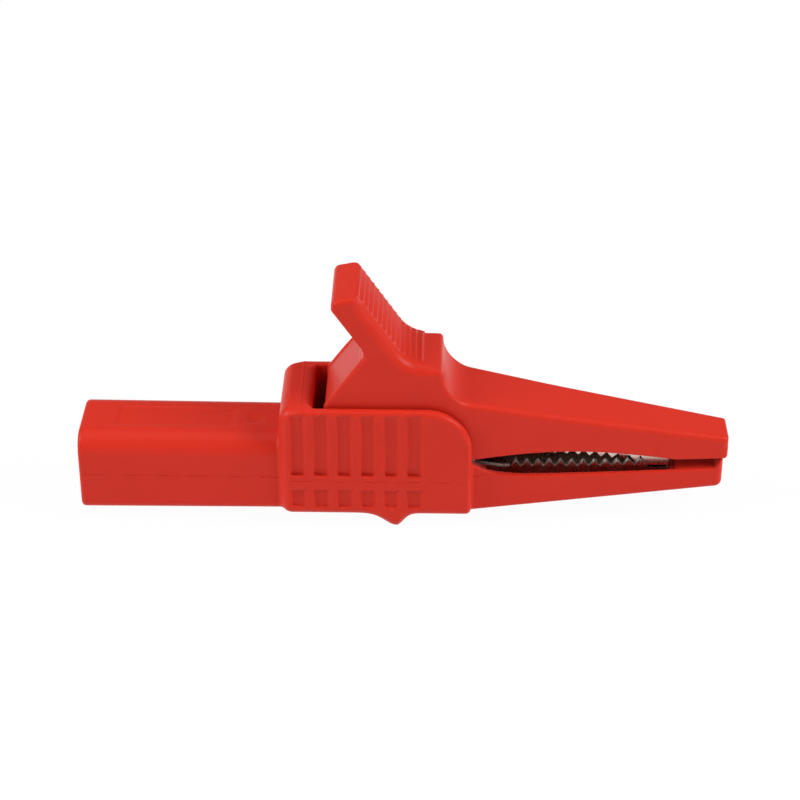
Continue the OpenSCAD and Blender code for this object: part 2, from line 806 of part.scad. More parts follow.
module socket_sleeve() {
    sleeve_x = mouth_x + 1;
    flange_x = web_x - 1;
    in_r = contact_d / 2 + fit;
    out_r = in_r + sleeve_wall;
    flange_r = shroud_d / 2 - fit;
    color("#D2342A")
        rotate([0, 90, 0])
            rotate_extrude()
                polygon([[in_r, sleeve_x], [out_r, sleeve_x], [out_r, flange_x], [flange_r, flange_x],
                         [flange_r, web_x], [in_r, web_x]]);
}

module contact_rivet() {
    head_r = rivet_d / 2 + 0.9;
    head_h = 0.9;
    head_x = tab_x + sheet_t;
    shank_r = rivet_d / 2 - fit;
    shank_x = rivet_hole_x + 2 * fit;
    color("#C2C4C6")
        rotate([0, 90, 0])
            rotate_extrude()
                polygon([[0, shank_x], [shank_r, shank_x], [shank_r, head_x], [head_r, head_x],
                         [head_r - 0.5, head_x + head_h], [0, head_x + head_h]]);
}

housing();
lever();
lower_jaw();
upper_jaw();
pivot_pin();
spring_bush();
torsion_spring();
socket_contact();
socket_sleeve();
contact_rivet();
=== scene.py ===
import math
import bpy
import numpy as np
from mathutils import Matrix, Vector


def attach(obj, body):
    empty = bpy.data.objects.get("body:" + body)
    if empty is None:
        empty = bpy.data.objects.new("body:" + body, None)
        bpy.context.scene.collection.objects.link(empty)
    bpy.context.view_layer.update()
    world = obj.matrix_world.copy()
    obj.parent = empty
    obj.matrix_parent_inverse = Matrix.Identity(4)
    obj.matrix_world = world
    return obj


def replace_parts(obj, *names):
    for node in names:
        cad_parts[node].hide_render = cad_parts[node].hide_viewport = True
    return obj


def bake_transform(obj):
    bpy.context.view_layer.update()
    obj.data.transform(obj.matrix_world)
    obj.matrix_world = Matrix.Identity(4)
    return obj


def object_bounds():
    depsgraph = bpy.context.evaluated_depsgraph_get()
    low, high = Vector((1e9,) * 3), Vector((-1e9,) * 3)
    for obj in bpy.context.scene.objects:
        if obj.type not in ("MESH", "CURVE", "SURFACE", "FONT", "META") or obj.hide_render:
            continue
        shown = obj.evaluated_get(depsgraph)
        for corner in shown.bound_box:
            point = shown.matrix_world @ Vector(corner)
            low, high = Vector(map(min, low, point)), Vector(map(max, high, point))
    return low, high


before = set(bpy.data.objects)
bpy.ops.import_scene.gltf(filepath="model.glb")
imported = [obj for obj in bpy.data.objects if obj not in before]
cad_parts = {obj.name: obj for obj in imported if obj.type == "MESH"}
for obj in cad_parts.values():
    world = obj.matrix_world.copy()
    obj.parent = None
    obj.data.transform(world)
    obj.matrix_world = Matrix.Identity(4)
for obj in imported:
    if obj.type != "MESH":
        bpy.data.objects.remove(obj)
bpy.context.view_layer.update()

# An insulated crocodile clip. Lengths are in millimetres until a mesh is made.
# X runs from the socket to the jaw tips, Z is up, Y goes across.
print("clip: frame loaded")

clip = {
    "mouthX": -2.0, "webX": 18.0, "gripX": 26.8, "cavityX": 31.5, "frontX": 54.0, "tipX": 90.55,
    "lowerTipX": 90.0, "metalX": 82.3, "pivotX": 47.5, "pivotZ": 4.8, "bottomZ": -6.1, "wallTopZ": 11.3,
    "floorZ": -4.9,
}
pivot = np.array([clip["pivotX"], clip["pivotZ"]])
metre = 1000


# Smooth shapes from fields: negative inside a solid, with a value that is about the distance to the skin

def roundBoth(a, b, r):
    # inside a and inside b; their shared edge is an arc of radius r
    return np.minimum(-r, np.maximum(a, b)) + np.hypot(np.maximum(r + a, 0), np.maximum(r + b, 0))


def roundEither(a, b, r):
    # inside a or inside b; the corner between them is filled by an arc of radius r
    return np.maximum(r, np.minimum(a, b)) - np.hypot(np.maximum(r - a, 0), np.maximum(r - b, 0))


def cutAway(a, b, r):
    # a without b; the edge where b breaks through is an arc of radius r
    return roundBoth(a, -b, r)


def inAll(first, *others):
    # inside every one of the fields, with sharp edges between them
    for other in others:
        first = np.maximum(first, other)
    return first


def step(t):
    # smooth change from 0 to 1 as t goes from 0 to 1
    t = np.clip(t, 0, 1)
    return t * t * (3 - 2 * t)


def fadeIn(t, start, length):
    # smooth change from 0 at start to 1 a length further on
    return step((t - start) / length)


def between(x, x0, x1, a, b):
    # straight change from a to b as x goes from x0 to x1
    return a + (b - a) * (x - x0) / (x1 - x0)


def outlineField(points):
    # signed distance to a closed outline: the nearest side gives the distance, and crossings give the sign
    a = np.array(points, float)
    b = np.roll(a, -1, axis=0)

    def field(u, v):
        u, v = np.broadcast_arrays(u, v)
        near = np.full(u.shape, np.inf)
        inside = np.zeros(u.shape, bool)
        for (au, av), (bu, bv) in zip(a, b):
            du, dv = bu - au, bv - av
            t = np.clip(((u - au) * du + (v - av) * dv) / (du * du + dv * dv), 0, 1)
            near = np.minimum(near, (u - au - t * du) ** 2 + (v - av - t * dv) ** 2)
            if dv != 0:
                crosses = (av > v) != (bv > v)
                inside ^= crosses & (u < au + (v - av) / dv * du)
        return np.where(inside, -1, 1) * np.sqrt(near)
    return field


def arcPoints(centre, r, start, end, count=8):
    # points on a circle from one angle to another, in degrees
    t = np.radians(np.linspace(start, end, count + 1))
    return [tuple(p) for p in np.stack([centre[0] + r * np.cos(t), centre[1] + r * np.sin(t)], 1)]


def filletPoints(before, corner, after, r, count=6):
    # a corner of an outline rounded by an arc of radius r that touches both of its sides
    corner = np.array(corner)
    toward = [np.array(p) - corner for p in (before, after)]
    toward = [d / np.linalg.norm(d) for d in toward]
    half = math.acos(float(toward[0] @ toward[1])) / 2
    middle = toward[0] + toward[1]
    centre = corner + middle / np.linalg.norm(middle) * r / math.sin(half)
    ends = [corner + d * r / math.tan(half) - centre for d in toward]
    start, end = (math.degrees(math.atan2(e[1], e[0])) for e in ends)
    end = start + (end - start + 180) % 360 - 180
    return arcPoints(centre, r, start, end, count)


def gridLines(*spans):
    # coordinates of a grid: each span is (start, end, spacing), and each starts where the last one ended
    lines = [np.linspace(a, b, max(1, round((b - a) / d)) + 1)[:-1] for a, b, d in spans]
    return np.concatenate(lines + [[spans[-1][1]]])


def skinOf(field, xs, ys, zs, passes=3):
    # closed mesh of the surface where the field is zero: one point in each grid cell that the surface
    # crosses, at the mean of its crossings, then slid along the field's slope onto the surface; one face
    # for each grid edge that it crosses
    grid = (xs, ys, zs)
    counts = (len(xs), len(ys), len(zs))
    f = np.array(np.broadcast_to(field(xs[:, None, None], ys[None, :, None], zs[None, None, :]), counts))
    full = (f < 0).astype(np.int8)
    count = sum(full[a:len(xs) - 1 + a, b:len(ys) - 1 + b, c:len(zs) - 1 + c]
                for a in (0, 1) for b in (0, 1) for c in (0, 1))
    cells = np.argwhere((count > 0) & (count < 8))
    number = np.full(count.shape, -1, np.int64)
    number[tuple(cells.T)] = np.arange(len(cells))
    total = np.zeros((len(cells), 3))
    hits = np.zeros(len(cells))
    for axis in range(3):
        others = [n for n in range(3) if n != axis]
        for a in (0, 1):
            for b in (0, 1):
                low = cells.copy()
                low[:, others[0]] += a
                low[:, others[1]] += b
                high = low.copy()
                high[:, axis] += 1
                f0, f1 = f[tuple(low.T)], f[tuple(high.T)]
                hit = (f0 < 0) != (f1 < 0)
                t = np.where(hit, f0 / np.where(hit, f0 - f1, 1), 0)
                p0 = np.stack([grid[n][low[:, n]] for n in range(3)], 1)
                p1 = np.stack([grid[n][high[:, n]] for n in range(3)], 1)
                total += hit[:, None] * (p0 + t[:, None] * (p1 - p0))
                hits += hit
    points = total / hits[:, None]
    small, longestMove, leastSlope = 0.01, 0.12, 0.3
    for _ in range(passes):
        x, y, z = points.T
        value = field(x, y, z)
        slope = np.stack([field(x + small, y, z) - field(x - small, y, z),
                          field(x, y + small, z) - field(x, y - small, z),
                          field(x, y, z + small) - field(x, y, z - small)], 1) / (2 * small)
        move = value[:, None] * slope / np.maximum((slope ** 2).sum(1), leastSlope)[:, None]
        size = np.linalg.norm(move, axis=1)
        points -= move * np.minimum(1, longestMove / np.maximum(size, 1e-9))[:, None]
    faces = []
    for axis in range(3):
        u, v = [(1, 2), (2, 0), (0, 1)][axis]
        low = [slice(None)] * 3
        high = [slice(None)] * 3
        low[axis], high[axis] = slice(0, -1), slice(1, None)
        starts, ends = f[tuple(low)] < 0, f[tuple(high)] < 0
        edges = np.argwhere(starts != ends)
        for n in (u, v):
            edges = edges[(edges[:, n] > 0) & (edges[:, n] < len(grid[n]) - 1)]
        corners = []
        for du, dv in ((-1, -1), (0, -1), (0, 0), (-1, 0)):
            cell = edges.copy()
            cell[:, u] += du
            cell[:, v] += dv
            corners.append(number[tuple(cell.T)])
        quads = np.stack(corners, 1)
        outward = starts[tuple(edges.T)]
        faces.append(np.where(outward[:, None], quads, quads[:, ::-1]))
    return points, np.concatenate(faces)


def makePiece(name, points, faces, body, slotName, material, sharpAngle=None):
    # a mesh object from points in millimetres and faces, which rides on a body
    mesh = bpy.data.meshes.new(name)
    mesh.from_pydata((np.asarray(points) / metre).tolist(), [], [list(map(int, q)) for q in faces])
    mesh.validate()
    mesh.shade_smooth()
    if sharpAngle:
        mesh.set_sharp_from_angle(angle=math.radians(sharpAngle))
    mesh.materials.append(material)
    piece = bpy.data.objects.new(name, mesh)
    bpy.context.scene.collection.objects.link(piece)
    if body:
        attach(piece, body)
    print(f"clip: {name}, {len(points)} points, {len(faces)} faces")
    return piece


# Shapes that the housing and the lever share

jaws = {
    "rootHalf": 5.6, "tipHalf": 3.05, "taperCosine": 0.998, "wall": 1.3, "rimLowZ": -0.45, "rimStep": 2.35,
    "rimStepLength": 2.6, "rimRise": 0.5, "archStartX": 52.0, "archRise": 1.55, "archDrop": 0.55,
    "noseX": 83.2, "noseZ": 1.65, "lowerLipZ": 1.3, "slotStartX": 50.5, "slotBreakX": 66.0,
    "slotBreakHalf": 2.15, "slotTipHalf": 1.85, "slotPlay": 0.1,
}


def coverHalf(x):
    # half width of both jaw covers: a straight taper from the grip to the tips
    return between(x, clip["frontX"], clip["tipX"], jaws["rootHalf"], jaws["tipHalf"])


def rimZ(x):
    # top edge of the lower cover: it falls from the grip and rises a little towards the tip
    d = np.maximum(x - clip["frontX"], 0)
    return (jaws["rimLowZ"] + jaws["rimStep"] * np.exp(-d / jaws["rimStepLength"])
            + jaws["rimRise"] * (d / (clip["tipX"] - clip["frontX"])) ** 2)


def skirtZ(x):
    # underside of the upper cover: an arch from the grip to the nose, then level
    t = np.clip((x - jaws["archStartX"]) / (jaws["noseX"] - jaws["archStartX"]), 0, 1)
    return jaws["noseZ"] + jaws["archDrop"] * (1 - t) + jaws["archRise"] * np.sin(np.pi * t)


def slotHalf(x, rootHalf):
    # half width of the slot round a metal jaw: level as far as its start, then a taper with one break
    start, middle = jaws["slotStartX"], jaws["slotBreakX"]
    taper = np.where(x < middle, between(x, start, middle, rootHalf, jaws["slotBreakHalf"]),
                     between(x, middle, clip["metalX"], jaws["slotBreakHalf"], jaws["slotTipHalf"]))
    return np.where(x < start, rootHalf, taper)


# Housing: barrel, grip and lower jaw cover in one moulding

# a pair whose name ends with Fade is the start and the length of a smooth change
housingSizes = {
    "barrelHalfWidth": 6.35, "barrelHalfHeight": 6.1, "barrelTopCorner": 3.0, "barrelLowCorner": 1.5,
    "barrelDraft": 0.18, "barrelOverlap": 2.0, "barrelBlend": 0.5, "mouthEdge": 0.6, "panelStartX": 3.3,
    "panelLength": 16.6, "panelHalfWidth": 2.5, "panelDepth": 0.2, "panelEdge": 0.06, "markX": 21.9,
    "markWidth": 2.2, "markY": -1.5,
    "gripHalfWidth": 7.46, "frontArc": 6.5, "bellyEdge": 1.6, "rearEdge": 1.6, "topEdge": 0.8,
    "topRearEdge": 1.9, "topRearFade": (0.6, 2.6), "frontFootTrim": 0.15, "frontFootEdge": 0.4,
    "stopX": 43.35, "stopHeight": 2.03, "stopRearSpread": 2.45, "stopFrontSpread": 1.45,
    "recessFirstX": 28.35, "recessPitch": 3.3, "recessWidth": 2.15, "recessDepth": 0.4,
    "recessFootDepth": 0.5, "recessColumns": 6, "recessSlope": 0.8, "recessUndercut": 0.6,
    "upperRow": (0.85, 10.9), "lowerRow": (-4.4, -1.7), "rowSplitZ": -0.5, "sinkRise": 1.7,
    "sinkLength": 1.5, "sinkLimit": 1.3, "headLength": 0.7, "crispEdge": 0.08, "softEdge": 0.3,
    "coverOverlap": 2.0, "coverBlend": 0.3, "coverEdge": 0.85, "tipEdge": 0.9, "rimEdge": 0.22,
    "bellyRootZ": -6.35, "bellyTipZ": -3.15, "bellyCosine": 0.997, "lipFade": (-1.0, 0.3),
    "shroudRadius": 4.8, "shroudEdge": 0.35, "webHoleRadius": 2.55, "cavityHalf": 6.1, "cavityEdge": 0.4,
    "frontWall": 1.8, "openingDepth": 3.0, "innerEdge": 0.3, "innerRearEdge": 1.4,
    "innerRearFade": (0.0, 0.6), "innerSideFade": (-1.6, 1.4), "tailX": 20.4, "tailHalfHeight": 4.9,
    "metalHalf": 3.55, "ledgeDrop": 0.5, "ledgeEdge": 0.12, "rootLip": 1.0, "tipLip": 0.6, "seatTipZ": -2.2,
    "roomRise": 0.4, "roomStart": 2.0,
    "partingZ": -0.31, "partingHeight": 0.035, "partingGroove": 0.09, "grooveRise": 0.126,
    "partingWidth": 0.07, "partingEnd": 1.0, "rearPartingX": 29.75, "rearPartingHeight": 0.07,
    "rearPartingDepth": 2.0,
    "waveLevel": 0.62, "waveSwing": 0.9, "slowWave": 0.83, "slowShift": 0.6, "fastWave": 2.1,
}


def stopZ(x):
    # underside of the grip with its stop: bottom - height * exp(-(distance / spread) ** 2) on each side
    s = housingSizes
    behind = np.maximum(s["stopX"] - x, 0) / s["stopRearSpread"]
    ahead = np.maximum(x - s["stopX"], 0) / s["stopFrontSpread"]
    return clip["bottomZ"] - s["stopHeight"] * np.exp(-behind ** 2 - ahead ** 2)


def recessField(x, z, inward):
    # hollows of the side walls, with inward as the depth below the wall's face: steep on the barrel's side,
    # sloping on the jaws' side, with a floor that sinks towards the lower end of the long row
    s = housingSizes
    column = np.clip(np.floor((x - s["recessFirstX"]) / s["recessPitch"]), 0, s["recessColumns"] - 1)
    start = x - s["recessFirstX"] - column * s["recessPitch"]
    slope, undercut = s["recessSlope"], s["recessUndercut"]
    side = np.maximum(-start, (start - s["recessWidth"] + slope * inward) / math.hypot(1, slope))
    sink = np.clip((s["upperRow"][0] + s["sinkRise"] - z) / s["sinkLength"], 0, s["sinkLimit"])
    head = step((s["upperRow"][1] - z) / s["headLength"])
    upper = (s["recessDepth"] + (s["recessFootDepth"] - s["recessDepth"]) * sink) * head
    high = z > s["rowSplitZ"]
    depth = np.where(high, upper, s["recessDepth"])
    low = np.where(high, s["upperRow"][0], s["lowerRow"][0])
    top = np.where(high, s["upperRow"][1], s["lowerRow"][1])
    ends = np.maximum((low - undercut * inward - z) / math.hypot(1, undercut), z - top)
    floorShare = 0.9
    return inAll(side, ends, (inward - depth) * floorShare), start


def barrelField(x, across, z, draft):
    # a box section with round corners, closed by the plane of its mouth
    s = housingSizes
    corner = np.where(z > 0, s["barrelTopCorner"], s["barrelLowCorner"])
    qy = across - (s["barrelHalfWidth"] - corner)
    qz = np.abs(z) - (s["barrelHalfHeight"] - corner - draft)
    section = np.hypot(np.maximum(qy, 0), np.maximum(qz, 0)) + np.minimum(np.maximum(qy, qz), 0) - corner
    barrel = roundBoth(section, clip["mouthX"] - x, s["mouthEdge"])
    return np.maximum(barrel, x - clip["gripX"] - s["barrelOverlap"])


def gripField(x, across, z):
    # side walls with recesses, underside with the stop, rear face, and a top that an arc joins to the front
    s = housingSizes
    small = 0.05
    slope = (stopZ(x + small) - stopZ(x - small)) / (2 * small)
    under = (stopZ(x) - z) / np.sqrt(1 + slope ** 2)
    grip = roundBoth(across - s["gripHalfWidth"], under, s["bellyEdge"])
    grip = roundBoth(grip, clip["gripX"] - x, s["rearEdge"])
    front = roundBoth(z - clip["wallTopZ"], x - clip["frontX"], s["frontArc"])
    nearRear = 1 - fadeIn(x - clip["gripX"], *s["topRearFade"])
    grip = roundBoth(grip, front, s["topEdge"] + (s["topRearEdge"] - s["topEdge"]) * nearRear)
    frontFoot = (x - clip["frontX"] - z + clip["bottomZ"] + s["frontFootTrim"]) / math.sqrt(2)
    grip = roundBoth(grip, frontFoot, s["frontFootEdge"])
    recess, start = recessField(x, z, s["gripHalfWidth"] - across)
    return cutAway(grip, recess, np.where(start < s["recessWidth"] / 2, s["crispEdge"], s["softEdge"]))


def lowerCoverField(x, across, z):
    # a tapered box whose top edge is the rim, with a lip at the tip
    s = housingSizes
    startX = clip["frontX"] - s["coverOverlap"]
    side = (across - coverHalf(x)) * jaws["taperCosine"]
    bottom = between(x, startX, clip["lowerTipX"], s["bellyRootZ"], s["bellyTipZ"])
    lip = fadeIn(x - clip["lowerTipX"], *s["lipFade"])
    rim = z - (rimZ(x) * (1 - lip) + jaws["lowerLipZ"] * lip)
    cover = roundBoth(side, (bottom - z) * s["bellyCosine"], s["coverEdge"])
    cover = roundBoth(cover, x - clip["lowerTipX"], s["tipEdge"])
    cover = roundBoth(cover, rim, s["rimEdge"])
    return np.maximum(cover, startX - x)


def partingRelief(x, z):
    # height of the fine ridges where the mould's parts met: along both sides with a groove above, broken by
    # the product of two waves, and across the rear wall's top
    s = housingSizes

    def ridge(distance):
        return np.exp(-(distance / s["partingWidth"]) ** 2)
    waves = s["waveSwing"] * np.sin(s["slowWave"] * x + s["slowShift"]) * np.sin(s["fastWave"] * x)
    broken = step(s["waveLevel"] + waves) * (x < clip["frontX"] + s["partingEnd"])
    above = z - s["partingZ"]
    along = s["partingHeight"] * ridge(above) - s["partingGroove"] * ridge(above - s["grooveRise"])
    onRear = z > clip["wallTopZ"] - s["rearPartingDepth"]
    return broken * along + s["rearPartingHeight"] * ridge(x - s["rearPartingX"]) * onRear


def cutRooms(body, x, y, z):
    # rooms for the plug's shroud, for the contact, under the lever, and for the jaw's tail
    s = housingSizes
    across, radius, frontX = np.abs(y), np.hypot(y, z), clip["frontX"]
    shroud = np.maximum(radius - s["shroudRadius"], x - clip["webX"])
    web = np.maximum(radius - s["webHoleRadius"], x - clip["cavityX"])
    behind = np.maximum(clip["cavityX"] - x, clip["floorZ"] - z)
    cavity = roundBoth(across - s["cavityHalf"], behind, s["cavityEdge"])
    cavity = np.maximum(cavity, x - (frontX - s["frontWall"]))
    opening = inAll(across - s["cavityHalf"], frontX - s["openingDepth"] - x, rimZ(frontX) - z)
    tail = inAll(across - s["metalHalf"], np.abs(z) - s["tailHalfHeight"], s["tailX"] - x, x - frontX)
    body = cutAway(body, shroud, s["shroudEdge"])
    body = np.maximum(body, -web)
    # the rear wall's inner edge is rounder than the side walls'
    onRear = 1 - fadeIn(x - clip["cavityX"], *s["innerRearFade"])
    onRear = onRear * (1 - fadeIn(across - s["cavityHalf"], *s["innerSideFade"]))
    body = cutAway(body, cavity, s["innerEdge"] + (s["innerRearEdge"] - s["innerEdge"]) * onRear)
    body = cutAway(body, opening, s["innerEdge"])
    body = np.maximum(body, -tail)
    # the ledge inside the cover's rim, the room beside the metal jaw, and the jaw's slot
    startX = frontX - s["coverOverlap"]
    lipWidth = between(x, startX, jaws["noseX"], s["rootLip"], s["tipLip"])
    ledge = inAll(across - (coverHalf(x) - lipWidth), rimZ(x) - s["ledgeDrop"] - z, startX - x,
                  x - jaws["noseX"])
    body = cutAway(body, ledge, s["ledgeEdge"])
    seat = between(x, frontX, clip["lowerTipX"], clip["floorZ"], s["seatTipZ"])
    room = inAll(across - (coverHalf(x) - jaws["wall"]), seat + s["roomRise"] - z,
                 frontX + s["roomStart"] - x, x - clip["metalX"])
    slot = inAll(across - slotHalf(x, s["metalHalf"]), seat - z, startX - x,
                 x - clip["metalX"] - jaws["slotPlay"])
    return inAll(body, -room, -slot)


def housingField(x, y, z):
    s = housingSizes
    across = np.abs(y)
    draft = s["barrelDraft"] * (x - clip["mouthX"]) / (clip["gripX"] - clip["mouthX"])
    body = roundEither(barrelField(x, across, z, draft), gripField(x, across, z), s["barrelBlend"])
    body = roundEither(body, lowerCoverField(x, across, z), s["coverBlend"])
    body = cutRooms(body - partingRelief(x, z), x, y, z)
    # shallow bare panel and plain square on top of the barrel
    half = s["panelLength"] / 2
    panel = np.maximum(np.abs(x - s["panelStartX"] - half) - half, across - s["panelHalfWidth"])
    half = s["markWidth"] / 2
    mark = np.maximum(np.abs(x - s["markX"] - half), np.abs(y - s["markY"] - half)) - half
    dip = np.maximum(np.minimum(panel, mark), s["barrelHalfHeight"] - draft - s["panelDepth"] - z)
    return cutAway(body, dip, s["panelEdge"])


# Lever: foot, thumb pad, shelf and upper jaw cover in one moulding

leverSizes = {
    "footX": 33.1, "footDepth": 1.0, "hubRadius": 5.3, "notchX": 39.05, "notchZ": 19.45, "notchFillet": 1.6,
    "crownX": 37.18, "crownZ": 27.28, "crown": 1.1, "padEndX": 35.34, "padEndZ": 27.0, "padEnd": 1.0,
    "padLipX": 34.34, "padLipZ": 26.3, "padLength": 9.8, "padSlope": 56.0, "padCurve": 5.0,
    "shelfSlope": 12.0, "shelfX": 49.8, "shelfCorner": 0.8, "fillet": 4.8, "coverTopZ": 11.7,
    "coverBreakX": 66.0, "coverBreakZ": 9.3, "breakEase": 1.5, "breakAbove": 0.29, "breakBelow": 0.26,
    "coverTipZ": 5.1, "tipCorner": 0.35, "noseCorner": 0.3, "tipSideEdge": 0.6, "skirtOverlap": 1.2,
    "skirtPoints": 32, "hubArc": (186, 325), "tipArc": (0, 80), "crownArcEnd": 98, "padEndArc": (105, 185),
    "bodyHalf": 5.85, "padHalf": 5.75, "narrowStart": 0.3, "narrowEnd": 3.0, "coverFade": (49.2, 5.0),
    "bodyEdge": 0.35, "padEdge": 0.7, "padFade": (14.5, 2.5), "padFrontFade": (49.0, 1.5), "coverEdge": 0.8,
    "coverEdgeFade": (50.5, 3.0), "skirtEdge": 0.25, "skirtReach": 2.2, "skirtLength": 1.2,
    "skirtFade": (50.0, 3.0), "padFaceEdge": 1.8, "faceDepthFade": (1.7, 0.8), "faceStartFade": (-0.6, 1.8),
    "faceEndFade": (46.5, 3.5),
    "backInset": 0.16, "backBorder": 0.85, "backBelow": 2.0, "backMargin": 1.5, "backEdge": 0.05,
    "wall": 1.35, "roomTopZ": 13.95, "roomBottomZ": -1.5, "roomFrontX": 48.6, "roomBend": (36.8, 10.4),
    "roomEdge": 0.15, "slotX": 48.0, "slotTopPlay": 0.05, "slotEdge": 0.12, "besideStart": 3.0,
    "crossRibs": (64.0, 72.0, 79.0), "crossRibHalf": 0.5,
}
metalTop = {"seatX": 48.6, "seatZ": 13.9, "rootZ": 9.7, "breakX": 66.0, "breakZ": 7.45, "tipZ": 4.0}


def leverOutline():
    # side view of the lever, round from the hub along the skirt, tip, cover, fillet, shelf, pad and back
    s = leverSizes
    down, flat = math.radians(s["padSlope"]), math.radians(s["shelfSlope"])
    crown = np.array([s["crownX"], s["crownZ"]])
    padTop = crown + s["crown"] * np.array([math.sin(down), math.cos(down)])
    curveStart = padTop + s["padLength"] * np.array([math.cos(down), -math.sin(down)])
    curveCentre = curveStart + s["padCurve"] * np.array([math.sin(down), math.cos(down)])
    shelfStart = curveCentre - s["padCurve"] * np.array([math.sin(flat), math.cos(flat)])
    corner, tip, nose, ease = s["shelfCorner"], s["tipCorner"], s["noseCorner"], s["breakEase"]
    shelfEndX = s["shelfX"] - corner
    shelfEndZ = shelfStart[1] - (shelfEndX - shelfStart[0]) * math.tan(flat)
    coverFall = math.atan((s["coverTopZ"] - s["coverBreakZ"]) / (s["coverBreakX"] - clip["frontX"]))
    filletCentre = (s["shelfX"] + s["fillet"], s["coverTopZ"] + s["fillet"] * math.cos(coverFall))
    tipX, lip = clip["tipX"], (s["padLipX"], s["padLipZ"])
    foot = [(s["footX"], clip["wallTopZ"]), (s["footX"], clip["pivotZ"] + s["footDepth"])]
    skirtX = np.linspace(clip["frontX"] - s["skirtOverlap"], jaws["noseX"], s["skirtPoints"])
    return (
        arcPoints(pivot, s["hubRadius"], *s["hubArc"], count=16)
        + list(zip(skirtX, skirtZ(skirtX)))
        + [(tipX - nose, jaws["noseZ"]), (tipX, jaws["noseZ"] + nose)]
        + arcPoints((tipX - tip, s["coverTipZ"] - tip), tip, *s["tipArc"], count=6)
        + [(s["coverBreakX"] + ease, s["coverBreakZ"] - s["breakBelow"])]
        + [(s["coverBreakX"] - ease, s["coverBreakZ"] + s["breakAbove"])]
        + arcPoints(filletCentre, s["fillet"], 270 - math.degrees(coverFall), 180, count=14)
        + arcPoints((shelfEndX, shelfEndZ - corner), corner, 0, 90 - s["shelfSlope"], count=6)
        + arcPoints(curveCentre, s["padCurve"], 270 - s["shelfSlope"], 270 - s["padSlope"], count=12)
        + arcPoints(crown, s["crown"], 90 - s["padSlope"], s["crownArcEnd"])
        + arcPoints((s["padEndX"], s["padEndZ"]), s["padEnd"], *s["padEndArc"])
        + [lip]
        + filletPoints(lip, (s["notchX"], s["notchZ"]), foot[0], s["notchFillet"])
        + foot
    ), padTop, curveCentre


def leverRoomOutline():
    # side view of the hollow under the lever, a wall's thickness inside the foot's back
    s = leverSizes
    backX, (bendX, bendZ) = s["footX"] + s["wall"], s["roomBend"]
    return [(backX, s["roomBottomZ"]), (backX, bendZ), (bendX, s["roomTopZ"]),
            (s["roomFrontX"], s["roomTopZ"]), (s["roomFrontX"], s["roomBottomZ"])]


leverSide, padTopPoint, padCurveCentre = leverOutline()
leverSideField = outlineField(leverSide)
leverRoomField = outlineField(leverRoomOutline())


def metalTopZ(x):
    # top of the upper metal jaw, which follows the cover's top
    m, frontX = metalTop, clip["frontX"]
    onCover = np.where(x < m["breakX"], between(x, frontX, m["breakX"], m["rootZ"], m["breakZ"]),
                       between(x, m["breakX"], clip["tipX"], m["breakZ"], m["tipZ"]))
    return np.where(x < frontX, between(x, m["seatX"], frontX, m["seatZ"], m["rootZ"]), onCover)


def leverEdge(x, z):
    # radius of the edge between the lever's outline and its sides
    s = leverSizes
    onPad = fadeIn(z, *s["padFade"]) * (1 - fadeIn(x, *s["padFrontFade"]))
    edge = s["bodyEdge"] + (s["padEdge"] - s["bodyEdge"]) * onPad
    edge = edge + (s["coverEdge"] - s["bodyEdge"]) * fadeIn(x, *s["coverEdgeFade"])
    # the cover's lower edge stays crisp, its upper edge is round
    low = step((skirtZ(x) + s["skirtReach"] - z) / s["skirtLength"]) * fadeIn(x, *s["skirtFade"])
    edge = edge * (1 - low) + s["skirtEdge"] * low
    # the pad's face runs into the sides by a broad round, its back and end by a small one
    down = math.radians(s["padSlope"])
    along = (x - padTopPoint[0]) * math.cos(down) - (z - padTopPoint[1]) * math.sin(down)
    above = (x - padTopPoint[0]) * math.sin(down) + (z - padTopPoint[1]) * math.cos(down)
    curveDepth = np.hypot(x - padCurveCentre[0], z - padCurveCentre[1]) - s["padCurve"]
    depth = np.where(along > s["padLength"], curveDepth, -above)
    onFace = (1 - fadeIn(depth, *s["faceDepthFade"])) * fadeIn(along, *s["faceStartFade"]) * onPad
    onFace = onFace * (1 - fadeIn(x, *s["faceEndFade"]))
    return edge + (s["padFaceEdge"] - edge) * onFace


def leverField(x, y, z):
    s = leverSizes
    across = np.abs(y)
    # half width: full between the walls, narrower at the pad, tapered along the jaw cover
    narrowZ = clip["wallTopZ"] + s["narrowStart"]
    up = step((z - narrowZ) / (s["notchZ"] - s["narrowEnd"] - clip["wallTopZ"]))
    toCover = fadeIn(x, *s["coverFade"])
    half = (s["bodyHalf"] + (s["padHalf"] - s["bodyHalf"]) * up) * (1 - toCover)
    half = half + np.minimum(coverHalf(x), s["bodyHalf"]) * toCover
    side = (across - half) * jaws["taperCosine"]
    shape = leverSideField(x, z)
    body = roundBoth(shape, side, leverEdge(x, z))
    body = np.maximum(body, roundBoth(x - clip["tipX"], side, s["tipSideEdge"]))
    # the foot's back is a little lower than its borders
    inset = inAll(-shape - s["backInset"], across - (half - s["backBorder"]), x - s["notchX"],
                  clip["wallTopZ"] - s["backBelow"] - z, z - s["notchZ"] + s["backMargin"])
    body = cutAway(body, inset, s["backEdge"])
    # rooms for the spring and the metal jaw, and beside the metal between the cover's cross ribs
    inner = s["bodyHalf"] - s["wall"]
    room = np.maximum(leverRoomField(x, z), across - inner)
    slot = inAll(across - slotHalf(x, inner), z - metalTopZ(x) - s["slotTopPlay"], s["slotX"] - x,
                 x - clip["metalX"] - jaws["slotPlay"])
    beside = inAll(across - (coverHalf(x) - jaws["wall"]), z - metalTopZ(x),
                   clip["frontX"] + s["besideStart"] - x, x - clip["metalX"])
    for ribX in s["crossRibs"]:
        beside = np.maximum(beside, s["crossRibHalf"] - np.abs(x - ribX - s["crossRibHalf"]))
    body = cutAway(body, room, s["roomEdge"])
    body = np.maximum(body, -beside)
    return cutAway(body, slot, s["slotEdge"])


